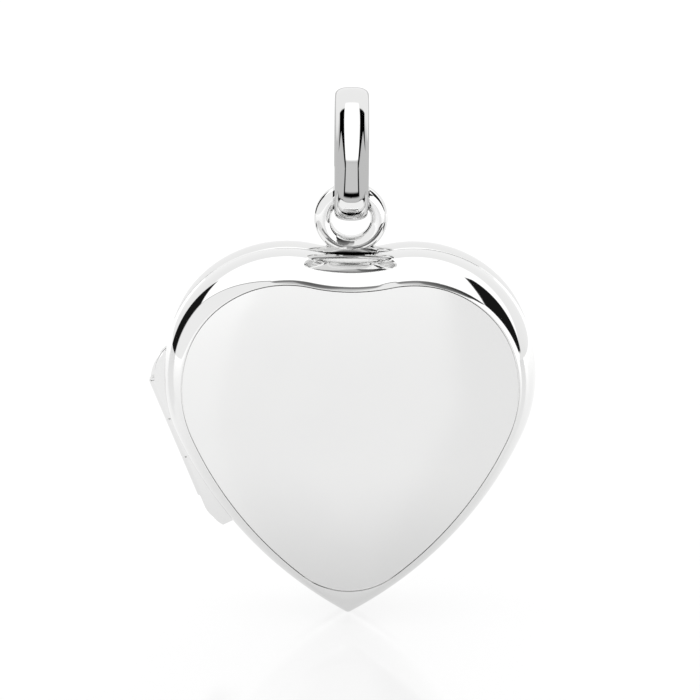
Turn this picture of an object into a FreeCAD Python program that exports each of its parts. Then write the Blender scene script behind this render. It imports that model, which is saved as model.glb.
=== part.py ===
"""Silver heart locket: two pressed covers on a barrel hinge, picture frames inside, on an oval bail.

Millimetres. +Z is up, -Y is the front, +X is the right-hand side seen from the front.
The origin is where a chain rests: the middle of the bail's inside, at its top.
"""
import FreeCAD, Part
import math
import os

V = FreeCAD.Vector

# Heart outline at the seam, one half: lobe, shoulder and side arcs, tangent to each other
HEART_WIDTH = 25.0
LOBE_RADIUS = 8.2
SHOULDER_RADIUS = 10.2
SIDE_RADIUS = 27.5
LOBE_END = math.radians(15)        # direction of the outline's normal where the lobe meets the shoulder
SHOULDER_END = math.radians(-23)   # and where the shoulder meets the side
CLEFT_RADIUS = 11.0
TIP_RADIUS = 0.3
FACE_TIP_RADIUS = 4.8              # the point is blunter round the faces
TIP_KEPT = math.radians(22)        # the sharp point lasts through this much of the wall's turn

# Covers
STRAIGHT = 1.0                     # upright wall next to the seam
SIDE_CURVE = 2.9                   # then the wall curves in with this radius
SIDE_TURN = math.radians(52)       # through this much
CORNER_CURVE = 0.42                # and a tighter corner meets the face
CORNER_TURN = math.radians(34)
LEAN_DOWN = 0.12                   # this share of the wall's lean lowers the outline, the rest draws it in
CROWN = 0.2                        # how much the face swells past the corner
CROWN_REACH = 6.0                  # and over what distance
WALL = 0.5
SEAM_GAP = 0.06
CURVE_SECTIONS = 6
CROWN_SECTIONS = 4
CROWN_POINTS = 16                  # along the half-round of the bail's section
NOTCH_WIDTH = 3.9                  # lens-shaped opening at the cleft, cut in the back cover's edge
NOTCH_DEPTH = 0.6

# Rim that stands up inside the back cover and centres the front one
RIM_DEPTH = 1.2
RIM_HEIGHT = 0.9
RIM_FRONT_INSET = 0.62
RIM_INNER_INSET = 0.92
BEAD_RADIUS = 0.16
BEAD_LENGTH = 3.2
BEAD_HEIGHT = 0.5
BEAD_NORMAL = math.radians(-21)
BEAD_ROOM = 0.05

# Pictures
CARD_INSET = 1.92
CARD_THICKNESS = 0.2
WINDOW_INSET = 1.5
WINDOW_THICKNESS = 0.3
FRAME_INSET = 1.15
FRAME_WALL = 0.25
FRAME_HEIGHT = 1.1
FRAME_LIP = 0.35
FRAME_LIP_INSET = 2.3
STACK_GAP = 0.02

# Suspension ring and bail
RING_RADIUS = 1.89                 # centre line
RING_WIRE = 0.6
RING_ABOVE_LOBES = 1.5
RING_BEHIND_SEAM = 1.9
FOOT_SIZES = ((-0.5, 2.05, 0.85), (0.0, 1.7, 0.66), (0.3, 1.3, 0.5))  # height over the cleft, half sizes
BAIL_WIDTH = 2.26
BAIL_INNER_HEIGHT = 7.22
BAIL_INNER_DEPTH = 5.0
BAIL_THICKNESS = 0.95
BAIL_EDGE = 0.35                   # flat side of the band, next to its inside
BAIL_FULLNESS = 2.5                # exponent of the crown: 2 is an ellipse, more is squarer
BAIL_SOFT = 0.3                    # corner taken off the inner edges
BAIL_PLAY = 0.03

# Hinge
HINGE_NORMAL = math.radians(-21.5)  # the barrel runs along the outline's tangent here
HINGE_OUT = 0.14                    # axis outside the outline
HINGE_SHIFT = 1.1                   # barrel's middle below the tangent point
BARREL_RADIUS = 0.42
BARREL_LENGTH = 8.9
KNUCKLE_GAP = 0.12
PIN_RADIUS = 0.2
PIN_PLAY = 0.02
PIN_HEAD_RADIUS = 0.32
PIN_HEAD_HEIGHT = 0.14
BARREL_ROOM = 0.06
PLATE_THICKNESS = 0.48
PLATE_NOSE = 0.3                    # the back plate's edge stands this far outside the axis
PLATE_TOP = 6.2                     # where the plates run out, above and below the barrel's middle
PLATE_BOTTOM = 7.0
PLATE_END_IN = 0.45                 # the lower end is cut off this far inside the axis
PLATE_SEAT = 1.5                    # plates reach this far in before the covers cut them

# Places that follow from the sizes above
HALF_WIDTH = HEART_WIDTH / 2
LOBE_X = HALF_WIDTH - LOBE_RADIUS * math.cos(LOBE_END) - SHOULDER_RADIUS * (1 - math.cos(LOBE_END))
CLEFT_TURN = math.asin(LOBE_X / (LOBE_RADIUS + CLEFT_RADIUS))
BAIL_INNER_BOTTOM = -BAIL_INNER_HEIGHT
RING_INNER = RING_RADIUS - RING_WIRE
HALF_BAND = BAIL_WIDTH / 2
RING_SEAT = min(math.sqrt(RING_INNER**2 - HALF_BAND**2) + BAIL_SOFT,
                math.sqrt(RING_INNER**2 - (HALF_BAND - BAIL_SOFT)**2))  # the band stops here in the hole
RING_Z = BAIL_INNER_BOTTOM - RING_SEAT + BAIL_PLAY
TOP_Z = RING_Z - RING_ABOVE_LOBES  # top of the lobes
SEAM_Y = -RING_BEHIND_SEAM


def unit(angle):
    """A unit vector in the XZ plane, turned from +X towards +Z."""
    return V(math.cos(angle), 0, math.sin(angle))


LOBE_CENTRE = V(LOBE_X, 0, TOP_Z - LOBE_RADIUS)
SHOULDER_CENTRE = LOBE_CENTRE + unit(LOBE_END) * (LOBE_RADIUS - SHOULDER_RADIUS)
SIDE_CENTRE = SHOULDER_CENTRE + unit(SHOULDER_END) * (SHOULDER_RADIUS - SIDE_RADIUS)
CLEFT_CENTRE = V(0, 0, LOBE_CENTRE.z + (LOBE_RADIUS + CLEFT_RADIUS) * math.cos(CLEFT_TURN))
CLEFT_Z = CLEFT_CENTRE.z - CLEFT_RADIUS


def mirrored(point):
    return V(-point.x, point.y, point.z)


def arc(centre, radius, start, end, y):
    """An arc in the plane at y, between two directions of its radius."""
    points = [centre + unit(start + (end - start) * share) * radius for share in (0, 0.5, 1)]
    for point in points:
        point.y = y
    return points


def heart_wire(inset, tip_radius, y, drop=0.0):
    """The outline in the plane at y, drawn in by inset and lowered by drop. Its arcs start at the cleft."""
    tip_turn = -math.acos(-SIDE_CENTRE.x / (SIDE_RADIUS - inset - tip_radius))
    tip_z = SIDE_CENTRE.z + (SIDE_RADIUS - inset - tip_radius) * math.sin(tip_turn)
    down = -math.pi / 2
    right = [
        arc(LOBE_CENTRE, LOBE_RADIUS - inset, math.pi / 2 + CLEFT_TURN, LOBE_END, y),
        arc(SHOULDER_CENTRE, SHOULDER_RADIUS - inset, LOBE_END, SHOULDER_END, y),
        arc(SIDE_CENTRE, SIDE_RADIUS - inset, SHOULDER_END, tip_turn, y),
    ]
    tip = arc(V(0, 0, tip_z), tip_radius, tip_turn, 2 * down - tip_turn, y)
    left = [[mirrored(point) for point in reversed(piece)] for piece in reversed(right)]
    cleft = arc(CLEFT_CENTRE, CLEFT_RADIUS + inset, down - CLEFT_TURN, down + CLEFT_TURN, y)
    pieces = right + [tip] + left + [cleft]
    wire = Part.Wire([Part.Arc(*piece).toShape() for piece in pieces])
    wire.translate(V(0, 0, -drop))
    return wire


def heart_plate(inset, tip_radius, y, thickness):
    """A flat heart from y towards +Y."""
    return Part.Face(heart_wire(inset, tip_radius, y)).extrude(V(0, thickness, 0))


def loft(wires):
    return Part.makeLoft(wires, True, False)


def tip_at(turn):
    """The point's radius where the wall has turned this far from upright."""
    share = max(0.0, turn - TIP_KEPT) / (SIDE_TURN + CORNER_TURN - TIP_KEPT)
    return TIP_RADIUS + (FACE_TIP_RADIUS - TIP_RADIUS) * share**2


def curve_levels(first, last, radius, start_inset, start_depth):
    """(inset, depth, tip radius) along one arc of the wall's section, from one turn to another."""
    levels = []
    for index in range(CURVE_SECTIONS):
        turn = first + (last - first) * index / (CURVE_SECTIONS - 1)
        inset = start_inset + radius * (math.cos(first) - math.cos(turn))
        depth = start_depth + radius * (math.sin(turn) - math.sin(first))
        levels.append((inset, depth, tip_at(turn)))
    return levels


def crown_levels(start_inset, start_depth):
    levels = []
    for index in range(CROWN_SECTIONS + 1):
        share = index / CROWN_SECTIONS
        height = CROWN * (1 - (1 - share)**2)
        past = CROWN_REACH * share
        levels.append((start_inset + past, start_depth + height, FACE_TIP_RADIUS - 0.75 * past))
    return levels


SIDE_LEVELS = curve_levels(0.0, SIDE_TURN, SIDE_CURVE, 0.0, STRAIGHT)
CORNER_LEVELS = curve_levels(SIDE_TURN, SIDE_TURN + CORNER_TURN, CORNER_CURVE, *SIDE_LEVELS[-1][:2])
CROWN_LEVELS = crown_levels(*CORNER_LEVELS[-1][:2])
EDGE_INSET, EDGE_DEPTH = CORNER_LEVELS[-1][:2]  # where the corner ends


def level_wire(level, side, offset):
    """The outline of one level of a half that is drawn in by offset all round."""
    inset, depth, tip = level
    drop = LEAN_DOWN * min(inset, EDGE_INSET)
    squeeze = (EDGE_DEPTH - offset) / EDGE_DEPTH
    return heart_wire(offset + inset - drop, tip, SEAM_Y + side * depth * squeeze, drop)


def domed_half(side, offset):
    """One half's solid, drawn in by offset all round. side is -1 for the front and 1 for the back."""
    upright = [(0.0, 0.0, TIP_RADIUS), SIDE_LEVELS[0]]
    solids = []
    for levels in (upright, SIDE_LEVELS, CORNER_LEVELS, CROWN_LEVELS):
        solids.append(loft([level_wire(level, side, offset) for level in levels]))
    return solids[0].fuse(solids[1:]).removeSplitter()


def cover(side, outer):
    """A pressed shell, open at the seam."""
    inner = domed_half(side, WALL)
    gap = heart_plate(-1, TIP_RADIUS, SEAM_Y - SEAM_GAP / 2, SEAM_GAP)
    return outer.cut(inner).cut(gap)


def notch():
    """Upright cylinder whose side takes a lens out of the back cover's edge at the cleft."""
    radius = (NOTCH_WIDTH**2 / 4 + NOTCH_DEPTH**2) / (2 * NOTCH_DEPTH)
    return Part.makeCylinder(radius, 3.0, V(0, SEAM_Y + NOTCH_DEPTH - radius, CLEFT_Z - 1.5))


HINGE_OUTWARD = mirrored(unit(HINGE_NORMAL))              # outward, on the left-hand side
HINGE_UP = V(HINGE_OUTWARD.z, 0, -HINGE_OUTWARD.x)        # along the barrel, upwards
HINGE_TOUCH = mirrored(SHOULDER_CENTRE + unit(HINGE_NORMAL) * SHOULDER_RADIUS)
HINGE_MIDDLE = HINGE_TOUCH + HINGE_OUTWARD * HINGE_OUT - HINGE_UP * HINGE_SHIFT + V(0, SEAM_Y, 0)


def on_barrel(along, out=0.0, y=0.0):
    """A point given along the barrel from its middle, outwards from its axis, and in y from the seam."""
    return HINGE_MIDDLE + HINGE_UP * along + HINGE_OUTWARD * out + V(0, y, 0)


def barrel(radius, start, end):
    return Part.makeCylinder(radius, end - start, on_barrel(start), HINGE_UP)


HALF_BARREL = BARREL_LENGTH / 2
KNUCKLE_EDGE = BARREL_LENGTH / 6
UPPER_SPAN = (KNUCKLE_EDGE + KNUCKLE_GAP / 2, HALF_BARREL)
MIDDLE_SPAN = (-KNUCKLE_EDGE + KNUCKLE_GAP / 2, KNUCKLE_EDGE - KNUCKLE_GAP / 2)
LOWER_SPAN = (-HALF_BARREL, -KNUCKLE_EDGE - KNUCKLE_GAP / 2)


def knuckle(span):
    bore = PIN_RADIUS + PIN_PLAY
    return barrel(BARREL_RADIUS, *span).cut(barrel(bore, *span))


def hinge_pin():
    """A wire with a small domed head at each end."""
    pin = barrel(PIN_RADIUS, -HALF_BARREL - PIN_HEAD_HEIGHT / 2, HALF_BARREL + PIN_HEAD_HEIGHT / 2)
    upper = barrel(PIN_HEAD_RADIUS, HALF_BARREL + 0.01, HALF_BARREL + PIN_HEAD_HEIGHT)
    lower = barrel(PIN_HEAD_RADIUS, -HALF_BARREL - PIN_HEAD_HEIGHT, -HALF_BARREL - 0.01)
    return pin.fuse([upper, lower]).removeSplitter()


def barrel_room(own):
    """What a half gives up to the barrel: its own knuckles' size there, and running room at the others."""
    past = PIN_HEAD_HEIGHT + BARREL_ROOM
    spans = [(-HALF_BARREL - past, LOWER_SPAN[1] + KNUCKLE_GAP), (LOWER_SPAN[1], UPPER_SPAN[0]),
             (UPPER_SPAN[0] - KNUCKLE_GAP, HALF_BARREL + past)]
    if own == "middle":
        radii = [BARREL_RADIUS + BARREL_ROOM, BARREL_RADIUS, BARREL_RADIUS + BARREL_ROOM]
    else:
        radii = [BARREL_RADIUS, BARREL_RADIUS + BARREL_ROOM, BARREL_RADIUS]
    rooms = [barrel(radius, *span) for radius, span in zip(radii, spans)]
    return rooms[0].fuse(rooms[1:])


def hinge_plate(side, own, outer_half):
    """The web that fills the corners between the straight barrel and the curved wall.

    The back one is rounded about the axis where it stands outside it, so the front one swings clear.
    """
    nose = PLATE_NOSE if side > 0 else 0.0
    y = side * SEAM_GAP / 2
    top = on_barrel(PLATE_TOP, -PLATE_SEAT, y)
    shoulder = on_barrel(PLATE_TOP - 0.85, -0.45 + nose * 0.6, y)
    upper = on_barrel(HALF_BARREL, nose, y)
    lower = on_barrel(-PLATE_BOTTOM + 1.4, nose, y)
    bend = on_barrel(-PLATE_BOTTOM + 0.55, -0.12 + nose * 0.5, y)
    end = on_barrel(-PLATE_BOTTOM, -PLATE_END_IN, y)
    bottom = on_barrel(-PLATE_BOTTOM + 0.1, -PLATE_SEAT, y)
    outline = [
        Part.Arc(top, shoulder, upper).toShape(),
        Part.makeLine(upper, lower),
        Part.Arc(lower, bend, end).toShape(),
        Part.makeLine(end, bottom),
        Part.makeLine(bottom, top),
    ]
    plate = Part.Face(Part.Wire(outline)).extrude(V(0, side * PLATE_THICKNESS, 0))
    if side > 0:
        outside = Part.Face(Part.Wire([
            Part.makeLine(on_barrel(PLATE_TOP, 0), on_barrel(PLATE_TOP, 1)),
            Part.makeLine(on_barrel(PLATE_TOP, 1), on_barrel(-PLATE_BOTTOM, 1)),
            Part.makeLine(on_barrel(-PLATE_BOTTOM, 1), on_barrel(-PLATE_BOTTOM, 0)),
            Part.makeLine(on_barrel(-PLATE_BOTTOM, 0), on_barrel(PLATE_TOP, 0)),
        ])).extrude(V(0, 1, 0))
        corner = outside.cut(barrel(BARREL_RADIUS, -PLATE_BOTTOM - 1, PLATE_TOP + 1))
        return plate.cut(outer_half).cut(corner).cut(barrel_room(own))
    running = barrel(BARREL_RADIUS + BARREL_ROOM, -PLATE_BOTTOM - 1, -HALF_BARREL)
    running = running.fuse(barrel(BARREL_RADIUS + BARREL_ROOM, HALF_BARREL, PLATE_TOP + 1))
    return plate.cut(outer_half).cut(barrel_room(own)).cut(running)


def rim(back_inner):
    """Strip soldered round the inside of the back cover, standing up past the seam."""
    height = RIM_HEIGHT + SEAM_GAP / 2
    low = heart_plate(WALL - 0.1, TIP_RADIUS, SEAM_Y + SEAM_GAP / 2, RIM_DEPTH).common(back_inner)
    high = heart_plate(RIM_FRONT_INSET, TIP_RADIUS, SEAM_Y - RIM_HEIGHT, height)
    hole = heart_plate(RIM_INNER_INSET, TIP_RADIUS + 0.2, SEAM_Y - 2 * RIM_HEIGHT, 4 * RIM_DEPTH)
    return low.fuse(high).removeSplitter().cut(hole)


def catch_bead(radius):
    """Half-round bead on the rim, opposite the hinge, that the front cover clicks over."""
    normal = unit(BEAD_NORMAL)
    along = V(-normal.z, 0, normal.x)
    on_rim = SHOULDER_CENTRE + normal * (SHOULDER_RADIUS - RIM_FRONT_INSET)
    middle = V(on_rim.x, SEAM_Y - BEAD_HEIGHT, on_rim.z)
    return Part.makeCylinder(radius, BEAD_LENGTH, middle - along * (BEAD_LENGTH / 2), along)


def picture_frame(side, floor):
    """Thin bezel that presses the window down: a wall with a lip at its foot. floor is where it stands."""
    low, high = sorted((floor, floor - side * FRAME_HEIGHT))
    outer = heart_plate(FRAME_INSET, 1.0, low, high - low)
    hole = heart_plate(FRAME_LIP_INSET, 1.6, low - 1, high - low + 2)
    well_low, well_high = sorted((floor - side * FRAME_LIP, floor - side * 2 * FRAME_HEIGHT))
    well = heart_plate(FRAME_INSET + FRAME_WALL, 1.1, well_low, well_high - well_low)
    return outer.cut(hole).cut(well)


def picture_parts(side):
    """Card, window and frame of one half, stacked on the inside of its face."""
    floor = SEAM_Y + side * (EDGE_DEPTH - WALL - STACK_GAP)
    parts = []
    for inset, thickness, tip in ((CARD_INSET, CARD_THICKNESS, 2.6), (WINDOW_INSET, WINDOW_THICKNESS, 2.0)):
        low = min(floor, floor - side * thickness)
        parts.append(heart_plate(inset, tip, low, thickness))
        floor -= side * (thickness + STACK_GAP)
    return parts + [picture_frame(side, floor)]


def suspension_ring(back_outer):
    """Wire ring on a small soldered foot, seated on the back cover's cleft."""
    centre = V(0, 0, RING_Z)
    ring = Part.makeTorus(RING_RADIUS, RING_WIRE, centre, V(0, 1, 0))
    wires = []
    for height, half_x, half_y in FOOT_SIZES:
        ellipse = Part.Ellipse(V(0, 0, CLEFT_Z + height), half_x, half_y)
        wires.append(Part.Wire(ellipse.toShape()))
    return ring.fuse(loft(wires)).cut(back_outer)


def crown_point(turn):
    """Half-round outside of the band's section: (x, out) at an angle from one edge to the other."""
    power = 2 / BAIL_FULLNESS
    across = math.copysign(abs(math.cos(turn))**power, math.cos(turn))
    out = abs(math.sin(turn))**power if 0 < turn < math.pi else 0.0
    return across * BAIL_WIDTH / 2, BAIL_EDGE + (BAIL_THICKNESS - BAIL_EDGE) * out


def bail():
    """Oval loop of half-round wire, in the YZ plane."""
    centre = V(0, 0, BAIL_INNER_BOTTOM + BAIL_INNER_HEIGHT / 2)
    start = V()
    side = centre + V(0, BAIL_INNER_DEPTH / 2, 0)
    path = Part.Wire(Part.Ellipse(start, side, centre).toShape())
    half = BAIL_WIDTH / 2

    def corner(x, out):
        return start + V(x, 0, out)

    crown = Part.BSplineCurve()
    turns = [math.pi * step / CROWN_POINTS for step in range(CROWN_POINTS + 1)]
    crown.interpolate([corner(*crown_point(turn)) for turn in turns])
    points = [corner(-half, BAIL_EDGE), corner(-half, BAIL_SOFT), corner(-half + BAIL_SOFT, 0),
              corner(half - BAIL_SOFT, 0), corner(half, BAIL_SOFT), corner(half, BAIL_EDGE)]
    section = Part.Wire([crown.toShape()] + [Part.makeLine(a, b) for a, b in zip(points, points[1:])])
    return path.makePipeShell([section], True, True)


def build():
    front_outer = domed_half(-1, 0)
    back_outer = domed_half(1, 0)
    back_inner = domed_half(1, WALL)
    upper, middle, lower = (knuckle(span) for span in (UPPER_SPAN, MIDDLE_SPAN, LOWER_SPAN))
    front_card, front_window, front_frame = picture_parts(-1)
    back_card, back_window, back_frame = picture_parts(1)
    back_rim = rim(back_inner).cut(notch())
    front_cover = cover(-1, front_outer).cut(barrel_room("middle"))
    return {
        "bail": bail(),
        "suspension_ring": suspension_ring(back_outer),
        "back_cover": cover(1, back_outer).cut(barrel_room("outer")).cut(notch()),
        "front_cover": front_cover.cut(catch_bead(BEAD_RADIUS + BEAD_ROOM)),
        "back_rim": back_rim,
        "catch_bead": catch_bead(BEAD_RADIUS).cut(back_rim),
        "hinge_plate_back": hinge_plate(1, "outer", back_outer),
        "hinge_plate_front": hinge_plate(-1, "middle", front_outer),
        "hinge_knuckle_upper": upper,
        "hinge_knuckle_middle": middle,
        "hinge_knuckle_lower": lower,
        "hinge_pin": hinge_pin(),
        "front_picture_card": front_card,
        "front_window": front_window,
        "front_picture_frame": front_frame,
        "back_picture_card": back_card,
        "back_window": back_window,
        "back_picture_frame": back_frame,
    }


def main():
    os.makedirs("parts", exist_ok=True)
    for name, shape in build().items():
        solids = shape.Solids
        print(name, "solids", len(solids), "valid", shape.isValid(), "volume %.3f" % shape.Volume)
        shape.exportStep("parts/%s.step" % name)


main()
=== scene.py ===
import math

import bmesh
import bpy
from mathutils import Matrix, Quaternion, Vector


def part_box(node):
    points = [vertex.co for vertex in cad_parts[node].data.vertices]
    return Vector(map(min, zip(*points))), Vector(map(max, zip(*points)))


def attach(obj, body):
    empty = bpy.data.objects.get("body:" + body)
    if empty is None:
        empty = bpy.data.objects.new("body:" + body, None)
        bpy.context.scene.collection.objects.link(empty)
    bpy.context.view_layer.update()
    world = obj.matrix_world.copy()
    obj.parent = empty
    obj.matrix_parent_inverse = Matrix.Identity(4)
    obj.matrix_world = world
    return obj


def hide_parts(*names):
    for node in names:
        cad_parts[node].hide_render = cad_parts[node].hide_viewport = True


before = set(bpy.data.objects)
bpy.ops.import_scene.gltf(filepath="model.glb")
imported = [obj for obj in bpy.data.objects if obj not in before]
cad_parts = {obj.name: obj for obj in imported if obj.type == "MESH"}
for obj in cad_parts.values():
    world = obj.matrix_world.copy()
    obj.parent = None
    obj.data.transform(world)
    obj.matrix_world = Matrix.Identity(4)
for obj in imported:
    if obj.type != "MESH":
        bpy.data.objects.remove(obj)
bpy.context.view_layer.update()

MM = 0.001

# The heart's outline and section are the CAD's, in millimetres, cut finer here for clean reflections
HALF_WIDTH = 12.5
LOBE_RADIUS = 8.2
SHOULDER_RADIUS = 10.2
SIDE_RADIUS = 27.5
LOBE_END = math.radians(15)
SHOULDER_END = math.radians(-23)
CLEFT_RADIUS = 11.0
TIP_RADIUS = 0.3
FACE_TIP_RADIUS = 4.8
TIP_KEPT = math.radians(22)
STRAIGHT = 1.0
SIDE_CURVE = 2.9
SIDE_TURN = math.radians(52)
CORNER_CURVE = 0.42
FULL_TURN = math.radians(86)
LEAN_DOWN = 0.12                # this share of the wall's lean lowers the outline, the rest draws it in
CROWN = 0.2
CROWN_REACH = 6.0
CROWN_SHARPENING = 0.75         # lost from the point's radius for each millimetre across the crown
WALL = 0.5
HALF_GAP = 0.03                 # half of the seam
EDGE_SOFT = 0.05                # rounding of the covers' seam edges
GROOVE = ((0.09, 0.0), (0.06, 0.14), (0.03, 0.14))    # fine line round the faces: past the corner, deep
STACK_GAP = 0.02
CARD = (1.92, 2.6, 0.2)         # inset, point radius, thickness
WINDOW = (1.5, 2.0, 0.3)
FRAME_INSET = 1.15
FRAME_WALL = 0.25
FRAME_HEIGHT = 1.1
FRAME_LIP = 0.35
FRAME_LIP_INSET = 2.3
FRAME_TIP_RADII = (1.0, 1.1, 1.6)    # of the point: outside, inside the wall, inside the lip
RIM_LEVELS = ((0.5, 0.3, 0.03), (0.62, 0.3, 0.03), (0.62, 0.3, -0.9), (0.92, 0.5, -0.9),
              (0.92, 0.5, 1.23), (0.54, 0.3, 1.23), (0.5, 0.3, 0.86))    # inset, point radius, y
NOTCH_WIDTH = 3.9
NOTCH_DEPTH = 0.6
NOTCH_REACH = 1.5               # how far the cut runs up and down from the cleft

# Bail and suspension ring, in millimetres
RING_RADIUS = 1.89
RING_WIRE = 0.6
RING_ABOVE_LOBES = 1.5
RING_BEHIND_SEAM = 1.9
FOOT_SIZES = ((-0.5, 2.05, 0.85), (0.0, 1.7, 0.66), (0.3, 1.3, 0.5))
BAIL_WIDTH = 2.26
BAIL_INNER_HEIGHT = 7.22
BAIL_INNER_DEPTH = 5.0
BAIL_THICKNESS = 0.95
BAIL_EDGE = 0.35
BAIL_FULLNESS = 2.5
BAIL_SOFT = 0.3
BAIL_PLAY = 0.03

# Hinge and catch, in millimetres
HINGE_NORMAL = math.radians(-21.5)
HINGE_OUT = 0.14
HINGE_SHIFT = 1.1
BARREL_RADIUS = 0.42
HALF_BARREL = 4.45
KNUCKLE_EDGE = 8.9 / 6
KNUCKLE_GAP = 0.12
BARREL_ROOM = 0.06
BARREL_PAST = 0.2               # room for the pin's heads
BEAD_NORMAL = math.radians(-21)
BEAD_INSET = 0.62
BEAD_ROOM_RADIUS = 0.21
BEAD_LENGTH = 3.2
BEAD_HEIGHT = 0.5

# How finely the meshes are cut
CLEFT_STEPS = 10
LOBE_STEPS = 40
SHOULDER_STEPS = 24
SIDE_STEPS = 56
TIP_STEPS = 14
TURN_STEPS = 43
CROWN_STEPS = 8
BAIL_STEPS = 160
BAND_STEPS = 40
RING_STEPS = 128
WIRE_STEPS = 40
ROD_STEPS = 96
FLOOR_STEPS = 128
SMOOTH_UP_TO = math.radians(35)

# Camera: a long lens, looking down on the front
CAMERA_ELEVATION = 22.0
CAMERA_AZIMUTH = -0.7
CAMERA_ROLL = 0.54              # degrees, clockwise in the picture
CAMERA_DISTANCE = 0.350
LENS = 265.9
AIM_ABOVE_HEART = 0.00524       # the heart sits this far below the picture's middle

# Stage
FLOOR_RADIUS = 0.15
FLOOR_GAP = 0.0003              # under the heart's point
FLOOR_SEEN = 0.74               # the floor's glow as the camera sees it
FLOOR_GLOW_WITH_PAINTED_SHADE = (0.004, 0.032, 0.62, 0.775)    # its glow in reflections, with painted shade that dims it near the heart: near, far, glow there

# What the silver reflects, as corners (azimuth, elevation) in degrees. Azimuth 0 is the front, 90 the right
LEFT_CARD = ((3, -11), (-19, 55), (-80, 45), (-100, 27), (-104, -12))
CARD_EDGE = ((3, -11), (-19, 56.6), (-80, 46.4), (-101, 27), (-104, -12))
POST = ((-131, 33), (-101, 26), (-106, -14), (-127, -14))
GREY_GAP = ((3, -11), (-19, 55), (6, 57.5), (9, 30))
DARK_NEAR = ((4, -11), (5, 57.5), (30, 53), (28, 17.5))
DARK_FAR = ((27, 17), (29, 53), (61.5, 31))
BLACK_SIDE = ((61, 30), (86, 48), (111, 53), (115, 46), (90, -4), (82, -4), (73, 12))
CARD_BLUR = 0.012
DARK_BLUR = 0.02
TOP_LIGHT = 1.35
TOP_LIGHT_SLANT = 0.84          # the top light starts higher up behind the heart than in front of it
HORIZON_LIGHT = (-0.3, 0.25, 0.95, 1.0)    # from and to this height, and how light
GREY_GAP_LIGHT = (0.35, 0.62, 0.65, 0.25)
DARK_MIDDLE = (60, 25)          # the dark gaps are darkest here
DARK_LIGHT = (0.6, 0.95, 0.22, 0.03)       # from and to this near the middle, and how light
CARD_LIGHT = 1.02
CARD_EDGE_LIGHT = 0.3
BLACK = 0.01

# What the bail reflects. Sideways is 0 to 1 from straight ahead, rise is an angle in radians
STRIP_HALF_WIDTH = 0.34
STRIP_NARROWING = 0.15
STRIP_WIDEST_AT = 0.75
STRIP_SPAN = (-0.1, 1.7)        # lowest and highest rise
STRIP_LIGHT = 1.3
FLAG_OUTER = 0.87
FLAG_NARROWING = 0.12
FLAG_TOP = 1.45
GABLE_MIDDLE = 0.62             # a flag's lower end is a gable
GABLE_PEAK = 0.66
GABLE_SLOPE = 2.7
FOOT_BLACK = (0.28, -1.0, -0.3)      # half width, lowest and highest rise
FOOT_GREY = (0.21, -0.85, -0.15)
FOOT_LIGHT = 0.68
BAIL_SKY = (0.2, 1.7, 0.62, 1.0)     # from and to this rise, and how light
SIDEWAYS_BLUR = 0.015
RISE_BLUR = 0.04

# Colours, and roughness as a ramp over the noise in each finish
SILVER_TONES = ((0.80, 0.80, 0.80, 1), (0.83, 0.83, 0.825, 1))
SILVER_ROUGHNESS = (0.3, 0.7, 0.03, 0.05)
PAPER_TONES = ((0.80, 0.78, 0.73, 1), (0.88, 0.87, 0.83, 1))
ACETATE_TONE = (0.97, 0.98, 0.98, 1)
ACETATE_ROUGHNESS = (0.35, 0.75, 0.01, 0.05)
FLOOR_TONE = (0.18, 0.18, 0.18, 1)
WHITE = (1, 1, 1, 1)

# Places that follow
LOBE_X = HALF_WIDTH - LOBE_RADIUS * math.cos(LOBE_END) - SHOULDER_RADIUS * (1 - math.cos(LOBE_END))
CLEFT_TURN = math.asin(LOBE_X / (LOBE_RADIUS + CLEFT_RADIUS))
RING_INNER = RING_RADIUS - RING_WIRE
HALF_BAND = BAIL_WIDTH / 2
RING_SEAT = min(math.sqrt(RING_INNER**2 - HALF_BAND**2) + BAIL_SOFT,
                math.sqrt(RING_INNER**2 - (HALF_BAND - BAIL_SOFT)**2))
RING_Z = BAIL_PLAY - BAIL_INNER_HEIGHT - RING_SEAT
TOP_Z = RING_Z - RING_ABOVE_LOBES
SEAM_Y = -RING_BEHIND_SEAM


def unit(angle):
    """A unit vector in the XZ plane, turned from +X towards +Z."""
    return Vector((math.cos(angle), 0, math.sin(angle)))


LOBE_CENTRE = Vector((LOBE_X, 0, TOP_Z - LOBE_RADIUS))
SHOULDER_CENTRE = LOBE_CENTRE + unit(LOBE_END) * (LOBE_RADIUS - SHOULDER_RADIUS)
SIDE_CENTRE = SHOULDER_CENTRE + unit(SHOULDER_END) * (SHOULDER_RADIUS - SIDE_RADIUS)
CLEFT_CENTRE = Vector((0, 0, LOBE_CENTRE.z + (LOBE_RADIUS + CLEFT_RADIUS) * math.cos(CLEFT_TURN)))
CLEFT_Z = CLEFT_CENTRE.z - CLEFT_RADIUS
HINGE_OUTWARD = Vector((-math.cos(HINGE_NORMAL), 0, math.sin(HINGE_NORMAL)))
HINGE_UP = Vector((HINGE_OUTWARD.z, 0, -HINGE_OUTWARD.x))
HINGE_TOUCH = Vector((-SHOULDER_CENTRE.x, 0, SHOULDER_CENTRE.z)) + HINGE_OUTWARD * SHOULDER_RADIUS
HINGE_MIDDLE = HINGE_TOUCH + HINGE_OUTWARD * HINGE_OUT - HINGE_UP * HINGE_SHIFT + Vector((0, SEAM_Y, 0))
HEART_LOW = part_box("front_cover")[0]
HEART_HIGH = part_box("back_cover")[1]
HEART_CENTRE = Vector((0, SEAM_Y * MM, (HEART_LOW.z + HEART_HIGH.z) / 2))


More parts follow.
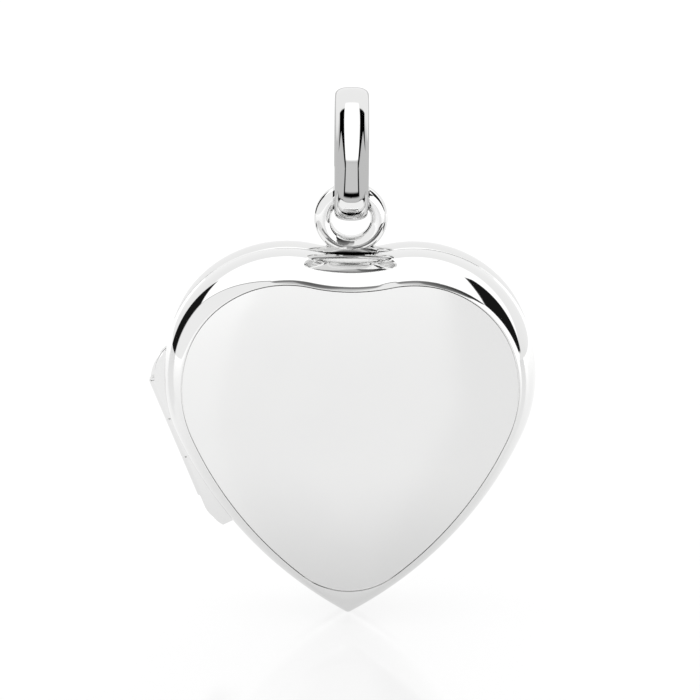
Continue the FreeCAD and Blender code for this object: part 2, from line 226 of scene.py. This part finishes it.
def heart_points(inset, tip_radius, y, drop=0.0):
    """The outline drawn in by inset and lowered by drop, in the plane at y, round from the cleft."""
    tip_turn = -math.acos(-SIDE_CENTRE.x / (SIDE_RADIUS - inset - tip_radius))
    tip_z = SIDE_CENTRE.z + (SIDE_RADIUS - inset - tip_radius) * math.sin(tip_turn)
    down = -math.pi / 2
    arcs = (
        (CLEFT_CENTRE, CLEFT_RADIUS + inset, down, down + CLEFT_TURN, CLEFT_STEPS),
        (LOBE_CENTRE, LOBE_RADIUS - inset, math.pi / 2 + CLEFT_TURN, LOBE_END, LOBE_STEPS),
        (SHOULDER_CENTRE, SHOULDER_RADIUS - inset, LOBE_END, SHOULDER_END, SHOULDER_STEPS),
        (SIDE_CENTRE, SIDE_RADIUS - inset, SHOULDER_END, tip_turn, SIDE_STEPS),
        (Vector((0, 0, tip_z)), tip_radius, tip_turn, down, TIP_STEPS),
    )
    right = []
    for centre, radius, start, end, steps in arcs:
        for step in range(steps):
            right.append(centre + unit(start + (end - start) * step / steps) * radius)
    point = Vector((0, 0, tip_z - tip_radius))
    left = [Vector((-spot.x, 0, spot.z)) for spot in reversed(right[1:])]
    return [Vector((spot.x, y, spot.z - drop)) * MM for spot in right + [point] + left]


def wall_point(turn):
    """(inset, depth) on the covers' section where the wall has turned this far from upright."""
    side = min(turn, SIDE_TURN)
    inset = SIDE_CURVE * (1 - math.cos(side))
    depth = STRAIGHT + SIDE_CURVE * math.sin(side)
    if turn > SIDE_TURN:
        inset += CORNER_CURVE * (math.cos(SIDE_TURN) - math.cos(turn))
        depth += CORNER_CURVE * (math.sin(turn) - math.sin(SIDE_TURN))
    return inset, depth


EDGE_INSET, EDGE_DEPTH = wall_point(FULL_TURN)


def tip_at(turn):
    """The point's radius where the wall has turned this far: crisp low down, soft round the face."""
    share = max(0.0, turn - TIP_KEPT) / (FULL_TURN - TIP_KEPT)
    return TIP_RADIUS + (FACE_TIP_RADIUS - TIP_RADIUS) * share**2


def half_levels(side, offset, groove=()):
    """Levels (inset, point radius, y, drop) from the middle of one cover's face to its straight wall."""
    levels = []
    squeeze = (EDGE_DEPTH - offset) / EDGE_DEPTH
    for step in range(CROWN_STEPS):
        share = 1 - step / CROWN_STEPS
        depth = EDGE_DEPTH + CROWN * (1 - (1 - share)**2)
        past = CROWN_REACH * share
        levels.append((EDGE_INSET + past, FACE_TIP_RADIUS - CROWN_SHARPENING * past, depth))
    for past, deep in groove:
        levels.append((EDGE_INSET + past, FACE_TIP_RADIUS, EDGE_DEPTH - deep))
    for step in range(TURN_STEPS + 1):
        turn = FULL_TURN * (1 - step / TURN_STEPS)
        inset, depth = wall_point(turn)
        levels.append((inset, tip_at(turn), depth))
    placed = []
    for inset, tip, depth in levels:
        drop = LEAN_DOWN * min(inset, EDGE_INSET)
        placed.append((offset + inset - drop, tip, SEAM_Y + side * depth * squeeze, drop))
    return placed


def cover_levels(side):
    """Down the outside, round the seam's edge and back up the inside."""
    third = EDGE_SOFT * 0.3
    edge = ((0.0, HALF_GAP + EDGE_SOFT), (third, HALF_GAP + third), (EDGE_SOFT, HALF_GAP), (WALL, HALF_GAP))
    seam = [(inset, TIP_RADIUS, SEAM_Y + side * depth) for inset, depth in edge]
    return half_levels(side, 0, GROOVE) + seam + half_levels(side, WALL)[::-1]


def new_object(name, vertices, faces):
    mesh = bpy.data.meshes.new(name)
    mesh.from_pydata(vertices, [], faces)
    work = bmesh.new()
    work.from_mesh(mesh)
    bmesh.ops.recalc_face_normals(work, faces=work.faces)
    work.to_mesh(mesh)
    work.free()
    made = bpy.data.objects.new(name, mesh)
    bpy.context.scene.collection.objects.link(made)
    return made


def joined_rings(rings, looped):
    """Vertices and faces of a skin over rings of points. It joins end to end, or is capped at the ends."""
    count = len(rings[0])
    vertices = [point for ring in rings for point in ring]
    pairs = [(index, index + 1) for index in range(len(rings) - 1)]
    faces = []
    if looped:
        pairs.append((len(rings) - 1, 0))
    else:
        faces.append(list(range(count)))
        faces.append(list(range(len(vertices) - count, len(vertices))))
    for first, second in pairs:
        for step in range(count):
            following = (step + 1) % count
            faces.append((first * count + step, first * count + following,
                          second * count + following, second * count + step))
    return vertices, faces


def heart_part(name, levels, looped=False):
    return new_object(name, *joined_rings([heart_points(*level) for level in levels], looped))


def upright_band(inset, tip, low, high):
    return [(inset, tip, low), (inset, tip, high)]


def picture_stack(side):
    """Card, window and frame of one half, stacked on the inside of its face."""
    half = "front" if side < 0 else "back"
    floor = SEAM_Y + side * (EDGE_DEPTH - WALL - STACK_GAP)
    parts = []
    for name, (inset, tip, thickness) in (("picture_card", CARD), ("window", WINDOW)):
        top = floor - side * thickness
        parts.append(heart_part(half + "_" + name + "_shape", upright_band(inset, tip, floor, top)))
        floor = top - side * STACK_GAP
    lip = floor - side * FRAME_LIP
    top = floor - side * FRAME_HEIGHT
    outer_tip, wall_tip, lip_tip = FRAME_TIP_RADII
    levels = (upright_band(FRAME_INSET, outer_tip, floor, top)
              + upright_band(FRAME_INSET + FRAME_WALL, wall_tip, top, lip)
              + upright_band(FRAME_LIP_INSET, lip_tip, lip, floor))
    parts.append(heart_part(half + "_picture_frame_shape", levels, looped=True))
    return parts


def cut(target, cutter):
    """Takes cutter out of target and throws cutter away."""
    modifier = target.modifiers.new("cut", "BOOLEAN")
    modifier.operation = "DIFFERENCE"
    modifier.solver = "EXACT"
    modifier.object = cutter
    bpy.context.view_layer.objects.active = target
    bpy.ops.object.modifier_apply(modifier="cut")
    bpy.data.objects.remove(cutter)


def rod(start, end, radius):
    """A cylinder between two points, in millimetres."""
    length = (end - start).length
    bpy.ops.mesh.primitive_cylinder_add(vertices=ROD_STEPS, radius=radius * MM, depth=length * MM,
                                        location=(start + end) * MM / 2)
    made = bpy.context.object
    made.rotation_mode = "QUATERNION"
    made.rotation_quaternion = (end - start).to_track_quat("Z", "Y")
    return made


def cut_barrel_room(target, own):
    """Takes the hinge barrel's room out of a cover, wider where the knuckle is the other cover's."""
    spans = ((-HALF_BARREL - BARREL_PAST, -KNUCKLE_EDGE, "outer"), (-KNUCKLE_EDGE, KNUCKLE_EDGE, "middle"),
             (KNUCKLE_EDGE, HALF_BARREL + BARREL_PAST, "outer"))
    for low, high, knuckle in spans:
        room = BARREL_RADIUS + (0.0 if knuckle == own else BARREL_ROOM)
        spare = KNUCKLE_GAP / 2 * (-1 if knuckle == own else 1)
        lower_end = HINGE_MIDDLE + HINGE_UP * (low - spare)
        upper_end = HINGE_MIDDLE + HINGE_UP * (high + spare)
        cut(target, rod(lower_end, upper_end, room))


def cut_notch(target):
    """The lens-shaped opening at the cleft."""
    radius = (NOTCH_WIDTH**2 / 4 + NOTCH_DEPTH**2) / (2 * NOTCH_DEPTH)
    middle = Vector((0, SEAM_Y + NOTCH_DEPTH - radius, CLEFT_Z))
    reach = Vector((0, 0, NOTCH_REACH))
    cut(target, rod(middle - reach, middle + reach, radius))


def cut_bead_room(target):
    """The dimple inside the front cover that the catch bead clicks into."""
    along = Vector((-math.sin(BEAD_NORMAL), 0, math.cos(BEAD_NORMAL))) * BEAD_LENGTH / 2
    middle = SHOULDER_CENTRE + unit(BEAD_NORMAL) * (SHOULDER_RADIUS - BEAD_INSET)
    middle.y = SEAM_Y - BEAD_HEIGHT
    cut(target, rod(middle - along, middle + along, BEAD_ROOM_RADIUS))


def band_section():
    """The bail's section as (across, out): a full crown outside and soft corners inside."""
    power = 2 / BAIL_FULLNESS
    points = []
    for step in range(BAND_STEPS + 1):
        turn = math.pi * step / BAND_STEPS
        across = math.copysign(abs(math.cos(turn))**power, math.cos(turn))
        out = max(math.sin(turn), 0.0)**power
        points.append((across * HALF_BAND, BAIL_EDGE + (BAIL_THICKNESS - BAIL_EDGE) * out))
    inner = HALF_BAND - BAIL_SOFT
    return points + [(-HALF_BAND, BAIL_SOFT), (-inner, 0), (inner, 0), (HALF_BAND, BAIL_SOFT)]


def bail_loop():
    """The band swept round the bail's oval, whose top inside is the origin."""
    section = band_section()
    depth = BAIL_INNER_DEPTH / 2
    height = BAIL_INNER_HEIGHT / 2
    rings = []
    for step in range(BAIL_STEPS):
        turn = math.tau * step / BAIL_STEPS
        inside = Vector((0, depth * math.sin(turn), height * (math.cos(turn) - 1)))
        outward = Vector((0, height * math.sin(turn), depth * math.cos(turn))).normalized()
        rings.append([(inside + outward * out + Vector((across, 0, 0))) * MM for across, out in section])
    return new_object("bail_shape", *joined_rings(rings, looped=True))


def suspension_ring():
    """The wire ring and the foot that it is soldered down with."""
    rings = []
    for step in range(RING_STEPS):
        way = unit(math.tau * step / RING_STEPS)
        centre = Vector((0, 0, RING_Z)) + way * RING_RADIUS
        wire = []
        for part in range(WIRE_STEPS):
            turn = math.tau * part / WIRE_STEPS
            offset = way * math.cos(turn) + Vector((0, math.sin(turn), 0))
            wire.append((centre + offset * RING_WIRE) * MM)
        rings.append(wire)
    made = new_object("suspension_ring_shape", *joined_rings(rings, looped=True))
    foot_rings = []
    for height, half_x, half_y in FOOT_SIZES:
        turns = [math.tau * step / WIRE_STEPS for step in range(WIRE_STEPS)]
        foot_rings.append([Vector((half_x * math.cos(turn), half_y * math.sin(turn), CLEFT_Z + height)) * MM
                           for turn in turns])
    foot = new_object("foot", *joined_rings(foot_rings, looped=False))
    for thing in (made, foot):
        thing.select_set(True)
    bpy.context.view_layer.objects.active = made
    bpy.ops.object.join()
    return made


def finish_part(made, node, body, finish):
    """Smooth shading up to crisp edges, a material, and its place in the frame."""
    for polygon in made.data.polygons:
        polygon.use_smooth = True
    work = bmesh.new()
    work.from_mesh(made.data)
    for edge in work.edges:
        edge.smooth = len(edge.link_faces) == 2 and edge.calc_face_angle(0.0) < SMOOTH_UP_TO
    work.to_mesh(made.data)
    work.free()
    made.data.materials.clear()
    made.data.materials.append(finish[0])
    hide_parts(node)
    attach(made, body)


def sky_direction(azimuth, elevation):
    """A unit vector towards the surroundings: azimuth 0 is the front, 90 the right-hand side, in degrees."""
    turn = math.radians(azimuth)
    rise = math.radians(elevation)
    return Vector((math.sin(turn) * math.cos(rise), -math.cos(turn) * math.cos(rise), math.sin(rise)))


class Graph:
    """Short calls for a node tree."""

    def __init__(self, tree):
        self.tree = tree
        tree.nodes.clear()

    def add(self, kind, **settings):
        node = self.tree.nodes.new(kind)
        for name, value in settings.items():
            setattr(node, name, value)
        return node

    def link(self, source, target):
        self.tree.links.new(source, target)

    def put(self, socket, value):
        """Sets a socket to a number, or links it to another socket."""
        if isinstance(value, bpy.types.NodeSocket):
            self.link(value, socket)
        else:
            socket.default_value = value

    def math(self, operation, first, second=0.0):
        node = self.add("ShaderNodeMath", operation=operation)
        self.put(node.inputs[0], first)
        self.put(node.inputs[1], second)
        return node.outputs[0]

    def dot(self, vector, fixed):
        node = self.add("ShaderNodeVectorMath", operation="DOT_PRODUCT")
        self.link(vector, node.inputs[0])
        node.inputs[1].default_value = fixed
        return node.outputs["Value"]

    def noise(self, scale, detail=2.0):
        """Cloudy noise that stays with the object."""
        node = self.add("ShaderNodeTexNoise")
        node.inputs["Scale"].default_value = scale
        node.inputs["Detail"].default_value = detail
        self.link(self.add("ShaderNodeTexCoord").outputs["Object"], node.inputs["Vector"])
        return node.outputs[0]

    def tone(self, share, first, second):
        """Goes from the first colour to the second."""
        node = self.add("ShaderNodeMix", data_type="RGBA")
        self.link(share, node.inputs[0])
        node.inputs[6].default_value = first
        node.inputs[7].default_value = second
        return node.outputs[2]

    def ramp(self, value, low, high, start=0.0, end=1.0):
        """A smooth step from start to end as value goes from low to high."""
        node = self.add("ShaderNodeMapRange", interpolation_type="SMOOTHSTEP")
        for socket, number in zip(node.inputs, (value, low, high, start, end)):
            self.put(socket, number)
        return node.outputs[0]

    def blend(self, share, first, second):
        """Goes from the first shader to the second."""
        node = self.add("ShaderNodeMixShader")
        for socket, source in zip(node.inputs, (share, first, second)):
            self.link(source, socket)
        return node.outputs[0]

    def mix(self, share, first, second):
        """Goes from the first level to the second."""
        node = self.add("ShaderNodeMix", data_type="FLOAT")
        self.put(node.inputs[0], share)
        self.put(node.inputs[2], first)
        self.put(node.inputs[3], second)
        return node.outputs[0]


def left_tent(graph, path):
    """1 for rays that the bail reflects, which have gone out through its tent, and 0 for the rest."""
    return graph.math("COMPARE", path.outputs["Transparent Depth"], 1.0)


def patch(graph, direction, corners, blur):
    """1 inside a shape on the sky with no dents in it, 0 outside it."""
    ways = [sky_direction(*corner) for corner in corners]
    middle = sum(ways, Vector())
    share = 1.0
    for first, second in zip(ways, ways[1:] + ways[:1]):
        normal = first.cross(second).normalized()
        if normal.dot(middle) < 0:
            normal = -normal
        share = graph.math("MULTIPLY", graph.ramp(graph.dot(direction, normal), -blur, blur), share)
    return share


def bail_surroundings(graph, direction):
    """What the bail reflects: a tall white strip in front, with a black flag on each side of it."""
    parts = graph.add("ShaderNodeSeparateXYZ")
    graph.link(direction, parts.inputs[0])
    sideways = graph.math("ABSOLUTE", parts.outputs[0])
    rise = graph.math("ARCTAN2", parts.outputs[2], graph.math("MULTIPLY", parts.outputs[1], -1.0))

    def box(inner, outer, low, high):
        share = graph.ramp(graph.math("SUBTRACT", sideways, outer), SIDEWAYS_BLUR, -SIDEWAYS_BLUR)
        if inner:
            past_inner = graph.ramp(graph.math("SUBTRACT", sideways, inner), -SIDEWAYS_BLUR, SIDEWAYS_BLUR)
            share = graph.math("MULTIPLY", share, past_inner)
        above_low = graph.ramp(graph.math("SUBTRACT", rise, low), -RISE_BLUR, RISE_BLUR)
        share = graph.math("MULTIPLY", share, above_low)
        return graph.math("MULTIPLY", share, graph.ramp(rise, high + RISE_BLUR, high - RISE_BLUR))

    off_gable = graph.math("ABSOLUTE", graph.math("SUBTRACT", sideways, GABLE_MIDDLE))
    gable = graph.math("SUBTRACT", GABLE_PEAK, graph.math("MULTIPLY", off_gable, GABLE_SLOPE))
    off_widest = graph.math("SUBTRACT", rise, STRIP_WIDEST_AT)
    drawn_in = graph.math("MULTIPLY", graph.math("MULTIPLY", off_widest, off_widest), STRIP_NARROWING)
    strip = graph.math("SUBTRACT", STRIP_HALF_WIDTH, drawn_in)
    outer = graph.math("SUBTRACT", FLAG_OUTER, graph.math("MULTIPLY", rise, FLAG_NARROWING))
    level = graph.ramp(rise, *BAIL_SKY)
    level = graph.mix(box(strip, outer, gable, FLAG_TOP), level, 0.0)
    level = graph.mix(box(0.0, strip, *STRIP_SPAN), level, STRIP_LIGHT)
    level = graph.mix(box(0.0, *FOOT_BLACK), level, 0.0)
    return graph.mix(box(0.0, *FOOT_GREY), level, FOOT_LIGHT)


def bail_tent():
    """A clear box close round the bail. It never shows, but marks the bail's reflections for the world."""
    low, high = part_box("bail")
    spare = Vector((0.1, 0.1, 0.1)) * MM
    low -= spare
    high += spare
    bpy.ops.mesh.primitive_cube_add(size=1, location=(low + high) / 2)
    tent = bpy.context.object
    tent.name = "bail_tent"
    tent.scale = high - low
    made = bpy.data.materials.new("clear_tent")
    made.use_nodes = True
    graph = Graph(made.node_tree)
    clear = graph.add("ShaderNodeBsdfTransparent")
    output = graph.add("ShaderNodeOutputMaterial")
    graph.link(clear.outputs[0], output.inputs["Surface"])
    tent.data.materials.append(made)
    tent.visible_camera = False
    tent.visible_diffuse = False
    tent.visible_shadow = False


def studio_world():
    """Soft white surroundings: a top light, a white card on the left and dark gaps on the right."""
    world = bpy.data.worlds.new("studio")
    world.use_nodes = True
    graph = Graph(world.node_tree)
    direction = graph.add("ShaderNodeTexCoord").outputs["Generated"]
    height = graph.dot(direction, (0, 0, 1))
    behind = graph.dot(direction, sky_direction(180, 0))

    level = graph.ramp(height, *HORIZON_LIGHT)
    top = graph.math("SUBTRACT", height, graph.math("MULTIPLY", behind, TOP_LIGHT_SLANT))
    level = graph.mix(graph.ramp(top, -DARK_BLUR, DARK_BLUR), level, TOP_LIGHT)
    low_back = graph.math("MULTIPLY", graph.ramp(behind, 0.2, 0.6), graph.ramp(height, 0.75, 0.0))
    level = graph.mix(low_back, level, 1.0)

    grey = graph.ramp(height, *GREY_GAP_LIGHT)
    dark = graph.ramp(graph.dot(direction, sky_direction(*DARK_MIDDLE)), *DARK_LIGHT)
    far = patch(graph, direction, DARK_FAR, DARK_BLUR)
    near = patch(graph, direction, DARK_NEAR, DARK_BLUR)
    level = graph.mix(patch(graph, direction, GREY_GAP, DARK_BLUR), level, grey)
    level = graph.mix(graph.math("MAXIMUM", far, near), level, dark)
    level = graph.mix(patch(graph, direction, BLACK_SIDE, DARK_BLUR), level, BLACK)
    level = graph.mix(patch(graph, direction, CARD_EDGE, CARD_BLUR), level, CARD_EDGE_LIGHT)
    level = graph.mix(patch(graph, direction, LEFT_CARD, CARD_BLUR), level, CARD_LIGHT)
    level = graph.mix(patch(graph, direction, POST, DARK_BLUR), level, BLACK)

    path = graph.add("ShaderNodeLightPath")
    level = graph.mix(left_tent(graph, path), level, bail_surroundings(graph, direction))
    level = graph.mix(path.outputs["Is Camera Ray"], level, 1.0)
    background = graph.add("ShaderNodeBackground")
    graph.link(level, background.inputs["Color"])
    output = graph.add("ShaderNodeOutputWorld")
    graph.link(background.outputs[0], output.inputs["Surface"])
    world.cycles.sampling_method = "NONE"
    bpy.context.scene.world = world


def material(name):
    made = bpy.data.materials.new(name)
    made.use_nodes = True
    graph = Graph(made.node_tree)
    shader = graph.add("ShaderNodeBsdfPrincipled")
    output = graph.add("ShaderNodeOutputMaterial")
    graph.link(shader.outputs[0], output.inputs["Surface"])
    return made, graph, shader, output


def polished_silver():
    """Mirror-polished silver with a little unevenness in its tone and gloss."""
    made, graph, shader, _ = material("polished_silver")
    shader.inputs["Metallic"].default_value = 1.0
    cloud = graph.noise(scale=180.0, detail=3.0)
    graph.link(graph.ramp(cloud, *SILVER_ROUGHNESS), shader.inputs["Roughness"])
    graph.link(graph.tone(cloud, *SILVER_TONES), shader.inputs["Base Color"])
    return made


def paper():
    """Matt cream card with a fine grain."""
    made, graph, shader, _ = material("card_paper")
    grain = graph.noise(scale=2500.0, detail=6.0)
    graph.link(graph.tone(grain, *PAPER_TONES), shader.inputs["Base Color"])
    shader.inputs["Roughness"].default_value = 0.85
    bump = graph.add("ShaderNodeBump")
    bump.inputs["Strength"].default_value = 0.3
    bump.inputs["Distance"].default_value = 0.00002
    graph.link(grain, bump.inputs["Height"])
    graph.link(bump.outputs[0], shader.inputs["Normal"])
    return made


def clear_window():
    """Clear plastic that lets light straight through to the card behind it."""
    made, graph, shader, output = material("clear_acetate")
    shader.inputs["Transmission Weight"].default_value = 1.0
    shader.inputs["IOR"].default_value = 1.47
    shader.inputs["Base Color"].default_value = ACETATE_TONE
    graph.link(graph.ramp(graph.noise(scale=400.0), *ACETATE_ROUGHNESS), shader.inputs["Roughness"])
    path = graph.add("ShaderNodeLightPath")
    straight_on = graph.math("MAXIMUM", path.outputs["Is Shadow Ray"], path.outputs["Is Diffuse Ray"])
    clear = graph.add("ShaderNodeBsdfTransparent")
    graph.link(graph.blend(straight_on, shader.outputs[0], clear.outputs[0]), output.inputs["Surface"])
    return made


def floor():
    """White table that fades into the background, with painted shade that dims its glow near the heart in
    reflections. The bail reflects its own surroundings in its place.
    """
    bpy.ops.mesh.primitive_circle_add(vertices=FLOOR_STEPS, radius=FLOOR_RADIUS, fill_type="NGON",
                                      location=(0, HEART_CENTRE.y, HEART_LOW.z - FLOOR_GAP))
    disc = bpy.context.object
    disc.name = "studio_floor"
    made, graph, shader, output = material("floor_white")
    shader.inputs["Base Color"].default_value = FLOOR_TONE
    shader.inputs["Roughness"].default_value = 0.12
    shader.inputs["Specular IOR Level"].default_value = 0.4
    shader.inputs["Emission Color"].default_value = WHITE
    where = graph.add("ShaderNodeTexCoord").outputs["Object"]
    from_bail = graph.add("ShaderNodeVectorMath", operation="ADD")
    graph.link(where, from_bail.inputs[0])
    from_bail.inputs[1].default_value = disc.location - sum(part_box("bail"), Vector()) / 2
    direction = graph.add("ShaderNodeVectorMath", operation="NORMALIZE")
    graph.link(from_bail.outputs[0], direction.inputs[0])
    glow = graph.add("ShaderNodeEmission")
    graph.link(bail_surroundings(graph, direction.outputs[0]), glow.inputs["Color"])
    path = graph.add("ShaderNodeLightPath")
    answer = graph.blend(left_tent(graph, path), shader.outputs[0], glow.outputs[0])
    graph.link(answer, output.inputs["Surface"])
    away = graph.add("ShaderNodeVectorMath", operation="LENGTH")
    graph.link(where, away.inputs[0])
    # painted shade: the floor glows less near the heart, so reflections show it shaded under the heart
    reflected_glow_painted_shade = graph.ramp(away.outputs["Value"], *FLOOR_GLOW_WITH_PAINTED_SHADE)
    glowing = graph.mix(path.outputs["Is Camera Ray"], reflected_glow_painted_shade, FLOOR_SEEN)
    graph.link(glowing, shader.inputs["Emission Strength"])
    disc.data.materials.append(made)


def camera():
    data = bpy.data.cameras.new("camera")
    data.lens = LENS
    data.sensor_width = 36.0
    data.clip_start = 0.01
    data.clip_end = 10.0
    made = bpy.data.objects.new("camera", data)
    bpy.context.scene.collection.objects.link(made)
    back = sky_direction(CAMERA_AZIMUTH, CAMERA_ELEVATION)
    up = back.cross(sky_direction(CAMERA_AZIMUTH + 90, 0))
    made.location = HEART_CENTRE + back * CAMERA_DISTANCE
    aim = HEART_CENTRE + up * AIM_ABOVE_HEART
    made.rotation_mode = "QUATERNION"
    made.rotation_quaternion = (aim - made.location).to_track_quat("-Z", "Y")
    made.rotation_quaternion @= Quaternion((0, 0, 1), math.radians(CAMERA_ROLL))
    bpy.context.scene.camera = made


def build_covers(silver):
    front = heart_part("front_cover_shape", cover_levels(-1))
    cut_barrel_room(front, "middle")
    cut_bead_room(front)
    finish_part(front, "front_cover", "front", silver)
    back = heart_part("back_cover_shape", cover_levels(1))
    cut_barrel_room(back, "outer")
    cut_notch(back)
    finish_part(back, "back_cover", "back", silver)
    rim_levels = [(inset, tip, SEAM_Y + y) for inset, tip, y in RIM_LEVELS]
    rim = heart_part("back_rim_shape", rim_levels, looped=True)
    cut_notch(rim)
    finish_part(rim, "back_rim", "back", silver)


def build_pictures(silver, card, window):
    for side, half in ((-1, "front"), (1, "back")):
        made_card, made_window, made_frame = picture_stack(side)
        finish_part(made_card, half + "_picture_card", half, card)
        finish_part(made_window, half + "_window", half, window)
        finish_part(made_frame, half + "_picture_frame", half + "_frame", silver)


def paint_small_parts(silver):
    """The hinge's parts and the catch bead keep the CAD's own shapes."""
    for name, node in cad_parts.items():
        if name.startswith("hinge") or name == "catch_bead":
            node.data.materials.clear()
            node.data.materials.append(silver[0])


camera()
studio_world()
floor()
bail_tent()
silver = (polished_silver(), "silver")
build_covers(silver)
build_pictures(silver, (paper(), "paper"), (clear_window(), "clear_plastic"))
finish_part(bail_loop(), "bail", "bail", silver)
finish_part(suspension_ring(), "suspension_ring", "back", silver)
paint_small_parts(silver)
bpy.context.scene.view_settings.view_transform = "Standard"
